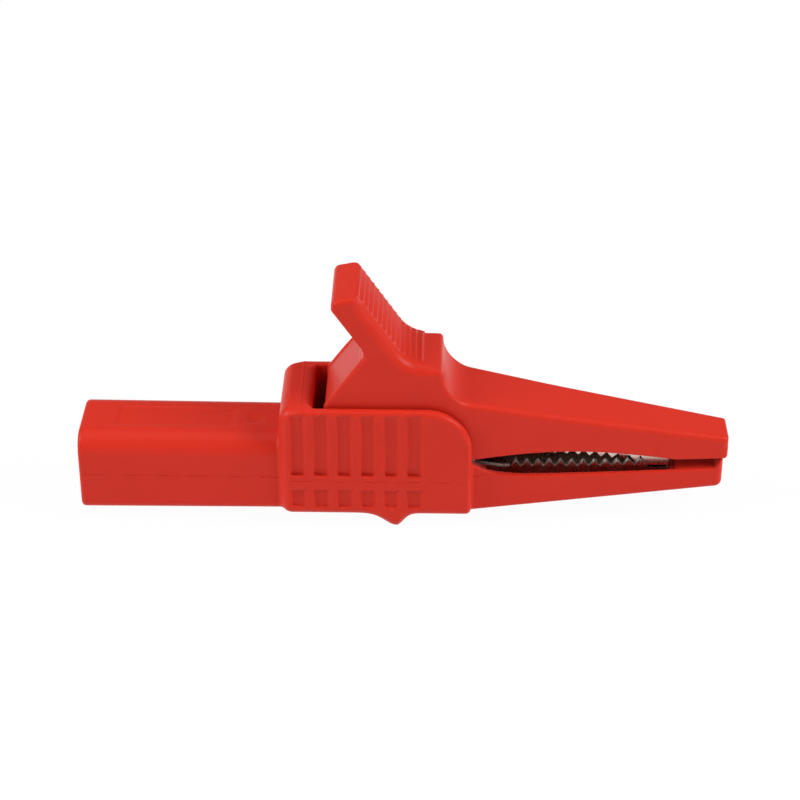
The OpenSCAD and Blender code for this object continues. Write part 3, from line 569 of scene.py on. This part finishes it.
# Turned and wound pieces

def loftFaces(sections, ring):
    # quads between neighbouring sections of a closed ring, with an end cap at each end
    i, j = np.meshgrid(np.arange(sections - 1), np.arange(ring), indexing="ij")
    k = (j + 1) % ring
    quads = np.stack([i * ring + j, i * ring + k, (i + 1) * ring + k, (i + 1) * ring + j], -1)
    caps = [list(range(ring))[::-1], list(range((sections - 1) * ring, sections * ring))]
    return quads.reshape(-1, 4).tolist() + caps


def turnedPoints(profile, segments):
    # a profile of (place along the axis, radius) turned about the X axis
    profile = np.array(profile, float)
    t = np.linspace(0, 2 * np.pi, segments, endpoint=False)
    place = np.broadcast_to(profile[:, :1], (len(profile), segments))
    return np.stack([place, profile[:, 1:] * np.cos(t), profile[:, 1:] * np.sin(t)], -1).reshape(-1, 3)


def turned(profile, segments=64):
    # a turned solid, with an end cap at each end
    return turnedPoints(profile, segments), loftFaces(len(profile), segments)


def turnedWall(profile, segments=64):
    # a turned tube, whose profile runs all round its wall
    n = len(profile)
    i, j = np.meshgrid(np.arange(n), np.arange(segments), indexing="ij")
    a, b = (i + 1) % n, (j + 1) % segments
    faces = np.stack([i * segments + j, i * segments + b, a * segments + b, a * segments + j], -1)
    return turnedPoints(profile, segments), faces.reshape(-1, 4)


def acrossPivot(points):
    # turns a piece from the X axis onto the pivot axis
    return np.stack([pivot[0] + points[:, 1], points[:, 0], pivot[1] + points[:, 2]], 1)


spring = {
    "wire": 1.1, "coilRadius": 3.0, "lowLeg": 291, "highLeg": 65, "turns": 3, "length": 4.2, "sides": 14,
    "samples": 180, "legSamples": 8, "lowSeatZ": clip["floorZ"] + 0.7, "highSeatZ": 13.2, "play": 0.05,
}


def springPoints():
    # wire along a helix about the pivot that leaves it by a straight leg at each end
    w, r = spring["wire"] / 2, spring["coilRadius"]
    low, high = math.radians(spring["lowLeg"]), math.radians(spring["highLeg"])
    sweep = math.radians(360 * spring["turns"] + 360 - spring["lowLeg"] + spring["highLeg"])
    t = np.linspace(0, 1, spring["samples"])
    a = low + sweep * t
    coil = np.stack([pivot[0] + r * np.cos(a), spring["length"] * (t - 0.5), pivot[1] + r * np.sin(a)], 1)
    lowLength = (pivot[1] + r * math.sin(low) - spring["lowSeatZ"] - w - spring["play"]) / math.cos(low)
    highLength = (spring["highSeatZ"] - w - spring["play"] - pivot[1] - r * math.sin(high)) / math.cos(high)
    start = coil[0] - lowLength * np.array([-math.sin(low), 0, math.cos(low)])
    end = coil[-1] + highLength * np.array([-math.sin(high), 0, math.cos(high)])
    legs = spring["legSamples"]
    path = np.concatenate([np.linspace(start, coil[0], legs)[:-1], coil,
                           np.linspace(coil[-1], end, legs)[1:]])
    direction = np.gradient(path, axis=0)
    direction /= np.linalg.norm(direction, axis=1)[:, None]
    sideways = np.array([0, 1.0, 0]) - direction * direction[:, 1:2]
    sideways /= np.linalg.norm(sideways, axis=1)[:, None]
    outward = np.cross(direction, sideways)
    k = np.linspace(0, 2 * np.pi, spring["sides"], endpoint=False)[None, :, None]
    ring = path[:, None] + w * (np.cos(k) * outward[:, None] + np.sin(k) * sideways[:, None])
    return ring.reshape(-1, 3), loftFaces(len(path), spring["sides"])


# Finishes

def surfaceGroup():
    # gives the colour, roughness and normal that vary over a surface; each material keeps its own shader
    group = bpy.data.node_groups.new("fineSurface", "ShaderNodeTree")
    inputs = (
        ("Colour", "NodeSocketColor", (0.5, 0.5, 0.5, 1)), ("Tone", "NodeSocketFloat", 0.05),
        ("Roughness", "NodeSocketFloat", 0.4), ("Roughness change", "NodeSocketFloat", 0.05),
        ("Patch scale", "NodeSocketFloat", 120), ("Grain scale", "NodeSocketFloat", 4000),
        ("Grain depth", "NodeSocketFloat", 0.000004), ("Wave depth", "NodeSocketFloat", 0.00002),
    )
    outputs = (
        ("Colour", "NodeSocketColor"), ("Roughness", "NodeSocketFloat"), ("Normal", "NodeSocketVector"),
    )
    for title, kind, value in inputs:
        socket = group.interface.new_socket(title, in_out="INPUT", socket_type=kind)
        socket.default_value = value
    for title, kind in outputs:
        group.interface.new_socket(title, in_out="OUTPUT", socket_type=kind)
    nodes, link = group.nodes, group.links.new
    given, put = nodes.new("NodeGroupInput"), nodes.new("NodeGroupOutput")
    place = nodes.new("ShaderNodeTexCoord")

    def noise(scale, detail):
        n = nodes.new("ShaderNodeTexNoise")
        n.inputs["Detail"].default_value = detail
        link(place.outputs["Object"], n.inputs["Vector"])
        link(given.outputs[scale], n.inputs["Scale"])
        return n.outputs["Fac"]

    def multiplyAdd(a, b, c):
        n = nodes.new("ShaderNodeMath")
        n.operation = "MULTIPLY_ADD"
        for socket, value in zip(n.inputs, (a, b, c)):
            if isinstance(value, (int, float)):
                socket.default_value = value
            else:
                link(value, socket)
        return n.outputs[0]
    # noise goes from 0 to 1, so twice its value less 1 swings about 0
    patch, grain = noise("Patch scale", detail=3), noise("Grain scale", detail=2)
    patchSwing, grainSwing = multiplyAdd(patch, 2, -1), multiplyAdd(grain, 2, -1)
    shade = nodes.new("ShaderNodeVectorMath")
    shade.operation = "SCALE"
    link(given.outputs["Colour"], shade.inputs[0])
    link(multiplyAdd(patchSwing, given.outputs["Tone"], 1), shade.inputs["Scale"])
    link(shade.outputs[0], put.inputs["Colour"])
    roughness = multiplyAdd(multiplyAdd(patchSwing, 1, grainSwing), given.outputs["Roughness change"],
                            given.outputs["Roughness"])
    link(roughness, put.inputs["Roughness"])
    wave, fine = nodes.new("ShaderNodeBump"), nodes.new("ShaderNodeBump")
    link(patch, wave.inputs["Height"])
    link(given.outputs["Wave depth"], wave.inputs["Distance"])
    link(wave.outputs[0], fine.inputs["Normal"])
    link(grain, fine.inputs["Height"])
    link(given.outputs["Grain depth"], fine.inputs["Distance"])
    link(fine.outputs[0], put.inputs["Normal"])
    return group


surface = surfaceGroup()


def finish(name, metallic=0.0, specular=0.5, **values):
    # a Principled material whose colour, roughness and normal come from the group
    material = bpy.data.materials.new(name)
    material.use_nodes = True
    nodes, link = material.node_tree.nodes, material.node_tree.links.new
    shader = nodes["Principled BSDF"]
    look = nodes.new("ShaderNodeGroup")
    look.node_tree = surface
    for title, value in values.items():
        look.inputs[title.replace("_", " ")].default_value = value
    for title, socket in (("Colour", "Base Color"), ("Roughness", "Roughness"), ("Normal", "Normal")):
        link(look.outputs[title], shader.inputs[socket])
    shader.inputs["Metallic"].default_value = metallic
    shader.inputs["Specular IOR Level"].default_value = specular
    material.diffuse_color = values["Colour"]
    return material


redPlastic = finish("red_plastic", specular=0.13, Colour=(0.60, 0.026, 0.0125, 1), Tone=0.035, Roughness=0.36,
                    Roughness_change=0.06, Patch_scale=160.0, Grain_scale=5200.0, Grain_depth=0.0000035,
                    Wave_depth=0.00003)
ivoryPlastic = finish("ivory_plastic", Colour=(0.62, 0.56, 0.42, 1), Tone=0.06, Roughness=0.4,
                      Roughness_change=0.06, Patch_scale=260.0, Grain_scale=5200.0, Grain_depth=0.000004,
                      Wave_depth=0.00002)
sleevePlastic = finish("sleeve_plastic", Colour=(0.50, 0.018, 0.006, 1), Tone=0.05, Roughness=0.32,
                       Roughness_change=0.06, Patch_scale=260.0, Grain_scale=5200.0, Grain_depth=0.000004,
                       Wave_depth=0.00002)
nickel = finish("nickel_plate", metallic=1.0, Colour=(0.66, 0.58, 0.52, 1), Tone=0.06, Roughness=0.27,
                Roughness_change=0.09, Patch_scale=320.0, Grain_scale=3800.0, Grain_depth=0.000004,
                Wave_depth=0.00004)
steel = finish("polished_steel", metallic=1.0, Colour=(0.56, 0.56, 0.56, 1), Tone=0.05, Roughness=0.22,
               Roughness_change=0.07, Patch_scale=400.0, Grain_scale=4200.0, Grain_depth=0.000003,
               Wave_depth=0.00003)
springSteel = finish("spring_wire", metallic=1.0, Colour=(0.44, 0.43, 0.42, 1), Tone=0.10, Roughness=0.3,
                     Roughness_change=0.10, Patch_scale=500.0, Grain_scale=3600.0, Grain_depth=0.000005,
                     Wave_depth=0.00003)
print("clip: finishes made")


# Pieces

# the grid is finer where a parting line runs
housingGrid = (
    gridLines((-2.6, 1.0, 0.3), (1.0, 26.0, 0.5), (26.0, 29.6, 0.26), (29.6, 29.9, 0.075),
              (29.9, 55.0, 0.26), (55.0, 91.0, 0.38)),
    gridLines((-8.0, -6.6, 0.2), (-6.6, 6.6, 0.3), (6.6, 8.0, 0.2)),
    gridLines((-8.75, -0.47, 0.26), (-0.47, -0.05, 0.06), (-0.05, 12.0, 0.26)),
)
housingMesh = skinOf(housingField, *housingGrid)
housingPiece = makePiece("housing_moulding", *housingMesh, "grip", "housing_plastic", redPlastic)
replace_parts(housingPiece, "housing")

leverGrid = (
    gridLines((32.6, 56.0, 0.25), (56.0, 91.2, 0.4)),
    gridLines((-6.4, 6.4, 0.25)),
    gridLines((-1.0, 29.2, 0.25)),
)
leverMesh = skinOf(leverField, *leverGrid)
leverPiece = makePiece("lever_moulding", *leverMesh, "lever_arm", "lever_plastic", redPlastic)
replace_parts(leverPiece, "lever")

# ribs of the thumb pad: one sawtooth outline laid along the pad's line, over its curve and onto the shelf,
# and swept across; a foot under the pad's face closes it, and its height falls to nothing at both ends
ribs = {
    "start": ((-0.55, -0.05), (-0.2, 0.22)), "first": 0.2, "pitch": 1.11, "straight": 10, "curvePitch": 0.98,
    "curved": 4, "height": 0.26, "peakShare": 0.62, "near": -4.1, "far": 5.0, "fade": 0.5, "lowered": 0.02,
    "sunk": 0.2, "sharpAngle": 20,
}


def padPlace(along, above):
    # a point by its way along the pad's face and its height above it
    s = leverSizes
    down, flat = math.radians(s["padSlope"]), math.radians(s["shelfSlope"])
    curveLength = s["padCurve"] * (down - flat)
    if along <= s["padLength"]:
        ahead, normal = (math.cos(down), -math.sin(down)), (math.sin(down), math.cos(down))
        return padTopPoint + along * np.array(ahead) + above * np.array(normal)
    turn = math.radians(270) - down + min(along - s["padLength"], curveLength) / s["padCurve"]
    place = padCurveCentre + (s["padCurve"] - above) * np.array([math.cos(turn), math.sin(turn)])
    return place + max(0, along - s["padLength"] - curveLength) * np.array([math.cos(flat), -math.sin(flat)])


valleys = [ribs["first"] + ribs["pitch"] * n for n in range(ribs["straight"])]
valleys += [valleys[-1] + ribs["curvePitch"] * (n + 1) for n in range(ribs["curved"])]
ribLine = list(ribs["start"])
for low, high in zip(valleys, valleys[1:]):
    ribLine += [(low, 0.0), (low + (high - low) * ribs["peakShare"], ribs["height"])]
ribLine.append((valleys[-1], 0.0))
ribSections = []
nearFull, farFull = ribs["near"] + ribs["fade"], ribs["far"] - ribs["fade"]
for y, share in ((ribs["near"], 0), (nearFull, 1), (farFull, 1), (ribs["far"], 0)):
    top = [padPlace(a, h * share - ribs["lowered"]) for a, h in ribLine]
    foot = [padPlace(a, -ribs["sunk"]) for a, h in reversed(ribLine)]
    ribSections.append([(p[0], y, p[1]) for p in top + foot])
ribPoints = np.array(ribSections).reshape(-1, 3)
ribFaces = loftFaces(len(ribSections), len(ribLine) * 2)
makePiece("pad_ribs", ribPoints, ribFaces, "lever_arm", "lever_plastic", redPlastic, ribs["sharpAngle"])

# the metal jaws keep the frame's own shape, with its edges joined and then rounded as a stamped sheet's are
stamped = {"joinDistance": 0.00001, "edgeWidth": 0.00012, "edgeSegments": 2, "edgeAngle": 32}
for name in ("lower_jaw", "upper_jaw"):
    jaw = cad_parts[name]
    weld = jaw.modifiers.new("joined", "WELD")
    weld.merge_threshold = stamped["joinDistance"]
    bevel = jaw.modifiers.new("rounded", "BEVEL")
    bevel.width = stamped["edgeWidth"]
    bevel.segments = stamped["edgeSegments"]
    bevel.limit_method = "ANGLE"
    bevel.angle_limit = math.radians(stamped["edgeAngle"])
    bevel.harden_normals = True
    jaw.data.materials.clear()
    jaw.data.materials.append(nickel)

# each turned piece: body, slot, node that it replaces, material, how it is turned, and profile
turnedAngle = 35
turnedPieces = {
    "pivot_rod": ("grip", "pin_steel", "pivot_pin", steel, turned, [
        (-6.65, 1.25), (-6.58, 1.38), (-6.4, 1.5), (6.4, 1.5), (6.58, 1.38), (6.65, 1.25)]),
    "bush_tube": ("grip", "bush_plastic", "spring_bush", ivoryPlastic, turnedWall, [
        (-2.7, 1.65), (-2.6, 1.55), (2.6, 1.55), (2.7, 1.65), (2.7, 2.0), (2.6, 2.1), (-2.6, 2.1),
        (-2.7, 2.0)]),
    "contact_tube": ("grip", "contact_metal", "socket_contact", nickel, turned, [
        (17.0, 0.02), (17.0, 1.9), (16.9, 2.0), (0.25, 2.0), (0.0, 2.2), (0.0, 2.4), (0.1, 2.5), (20.4, 2.5),
        (20.4, 3.2), (20.5, 3.3), (21.3, 3.3), (21.4, 3.2), (21.4, 1.25), (21.45, 1.2), (18.2, 1.2),
        (18.2, 0.02)]),
    "sleeve_tube": ("grip", "sleeve_plastic", "socket_sleeve", sleevePlastic, turnedWall, [
        (-1.0, 2.65), (-0.9, 2.55), (18.0, 2.55), (18.0, 4.65), (17.9, 4.75), (17.1, 4.75), (17.0, 4.65),
        (17.0, 3.3), (16.85, 3.15), (-0.9, 3.15), (-1.0, 3.05)]),
    "rivet_stem": ("grip", "contact_metal", "contact_rivet", nickel, turned, [
        (18.3, 0.9), (18.5, 1.15), (22.1, 1.15), (22.1, 2.1), (22.35, 2.1), (22.75, 1.85), (22.95, 1.5),
        (23.0, 1.1)]),
}
for name, (body, slotName, node, material, turn, profile) in turnedPieces.items():
    points, faces = turn(profile)
    if node in ("pivot_pin", "spring_bush"):
        points = acrossPivot(points)
    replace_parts(makePiece(name, points, faces, body, slotName, material, turnedAngle), node)

springPiece = makePiece("spring_coil", *springPoints(), None, "spring_steel", springSteel)
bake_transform(springPiece)
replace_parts(springPiece, "torsion_spring")
print("clip: pieces made")


# Stage, light and camera, in metres

stage = {
    "centreX": 0.044, "floorSize": 6.0, "floorClearance": 0.00003, "floorGrey": 0.9, "whiteShare": 0.97,
    "worldLevel": 0.20, "horizon": 0.45, "zenith": 0.35, "fadeFrom": 0.1, "fadeTo": 0.6,
}


def backgroundRay(nodes, link, level):
    # level for rays from the camera, from glossy and from clear surfaces, and 0 for the others
    rays = nodes.new("ShaderNodeLightPath")
    total = None
    for title in ("Is Camera Ray", "Is Glossy Ray", "Is Transmission Ray"):
        add = nodes.new("ShaderNodeMath")
        add.operation = "MULTIPLY_ADD"
        add.use_clamp = True
        add.inputs[1].default_value = level
        link(rays.outputs[title], add.inputs[0])
        if total is None:
            add.inputs[2].default_value = 0
        else:
            link(total, add.inputs[2])
        total = add.outputs[0]
    return total


def stageMaterial():
    # white to the camera, to glossy and to clear surfaces; a share of plain shading keeps a soft shadow
    material = bpy.data.materials.new("white_floor")
    material.use_nodes = True
    nodes, link = material.node_tree.nodes, material.node_tree.links.new
    nodes.remove(nodes["Principled BSDF"])
    plain, glow = nodes.new("ShaderNodeBsdfDiffuse"), nodes.new("ShaderNodeEmission")
    mix = nodes.new("ShaderNodeMixShader")
    plain.inputs["Color"].default_value = (stage["floorGrey"],) * 3 + (1,)
    glow.inputs["Strength"].default_value = 1.0
    link(backgroundRay(nodes, link, stage["whiteShare"]), mix.inputs["Fac"])
    link(plain.outputs[0], mix.inputs[1])
    link(glow.outputs[0], mix.inputs[2])
    link(mix.outputs[0], nodes["Material Output"].inputs["Surface"])
    return material


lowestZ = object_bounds()[0][2]
floorMesh = bpy.data.meshes.new("floor")
half = stage["floorSize"] / 2
floorMesh.from_pydata([(-half, -half, 0), (half, -half, 0), (half, half, 0), (-half, half, 0)], [],
                      [(0, 1, 2, 3)])
floorMesh.materials.append(stageMaterial())
floor = bpy.data.objects.new("floor", floorMesh)
floor.location = (stage["centreX"], 0, lowestZ - stage["floorClearance"])
bpy.context.scene.collection.objects.link(floor)

# the room is even for plain surfaces; shiny ones and the camera see it a little brighter low down
world = bpy.data.worlds.new("studio")
bpy.context.scene.world = world
world.use_nodes = True
nodes, link = world.node_tree.nodes, world.node_tree.links.new
base, seen, mix = nodes["Background"], nodes.new("ShaderNodeBackground"), nodes.new("ShaderNodeMixShader")
base.inputs["Color"].default_value = (1, 1, 1, 1)
base.inputs["Strength"].default_value = stage["worldLevel"]
direction, split = nodes.new("ShaderNodeTexCoord"), nodes.new("ShaderNodeSeparateXYZ")
fade = nodes.new("ShaderNodeMapRange")
link(direction.outputs["Generated"], split.inputs[0])
link(split.outputs["Z"], fade.inputs["Value"])
fade.inputs["From Min"].default_value = stage["fadeFrom"]
fade.inputs["From Max"].default_value = stage["fadeTo"]
fade.inputs["To Min"].default_value = stage["horizon"]
fade.inputs["To Max"].default_value = stage["zenith"]
link(fade.outputs["Result"], seen.inputs["Strength"])
link(backgroundRay(nodes, link, 1.0), mix.inputs["Fac"])
link(base.outputs[0], mix.inputs[1])
link(seen.outputs[0], mix.inputs[2])
link(mix.outputs[0], nodes["World Output"].inputs["Surface"])


def aim(thing, place, target):
    # puts a lamp or camera at a place and turns it towards a target
    thing.location = place
    thing.rotation_euler = Vector(np.array(target) - np.array(place)).to_track_quat("-Z", "Y").to_euler()
    bpy.context.scene.collection.objects.link(thing)


lampTarget = (stage["centreX"], 0, 0.008)
lamps = {
    "left": {"place": (-0.58, -0.17, 0.47), "size": 0.40, "power": 4.5},
    "right": {"place": (0.66, -0.17, 0.47), "size": 0.40, "power": 4.85},
    "over": {"place": (0.044, 0.05, 0.75), "size": 0.60, "power": 1.3},
}
for name, lamp in lamps.items():
    light = bpy.data.lights.new(name, "AREA")
    light.size = lamp["size"]
    light.energy = lamp["power"]
    aim(bpy.data.objects.new(name, light), lamp["place"], lampTarget)

shot = {"place": (0.04944, -0.27374, 0.17357), "target": (0.0437, 0, 0.00905), "lens": 100.8, "sensor": 36,
        "nearest": 0.01, "farthest": 20}
lens = bpy.data.cameras.new("camera")
lens.lens = shot["lens"]
lens.sensor_width = shot["sensor"]
lens.clip_start = shot["nearest"]
lens.clip_end = shot["farthest"]
camera = bpy.data.objects.new("camera", lens)
aim(camera, shot["place"], shot["target"])
bpy.context.scene.camera = camera
bpy.context.scene.view_settings.view_transform = "Standard"
print("clip: stage, light and camera made")
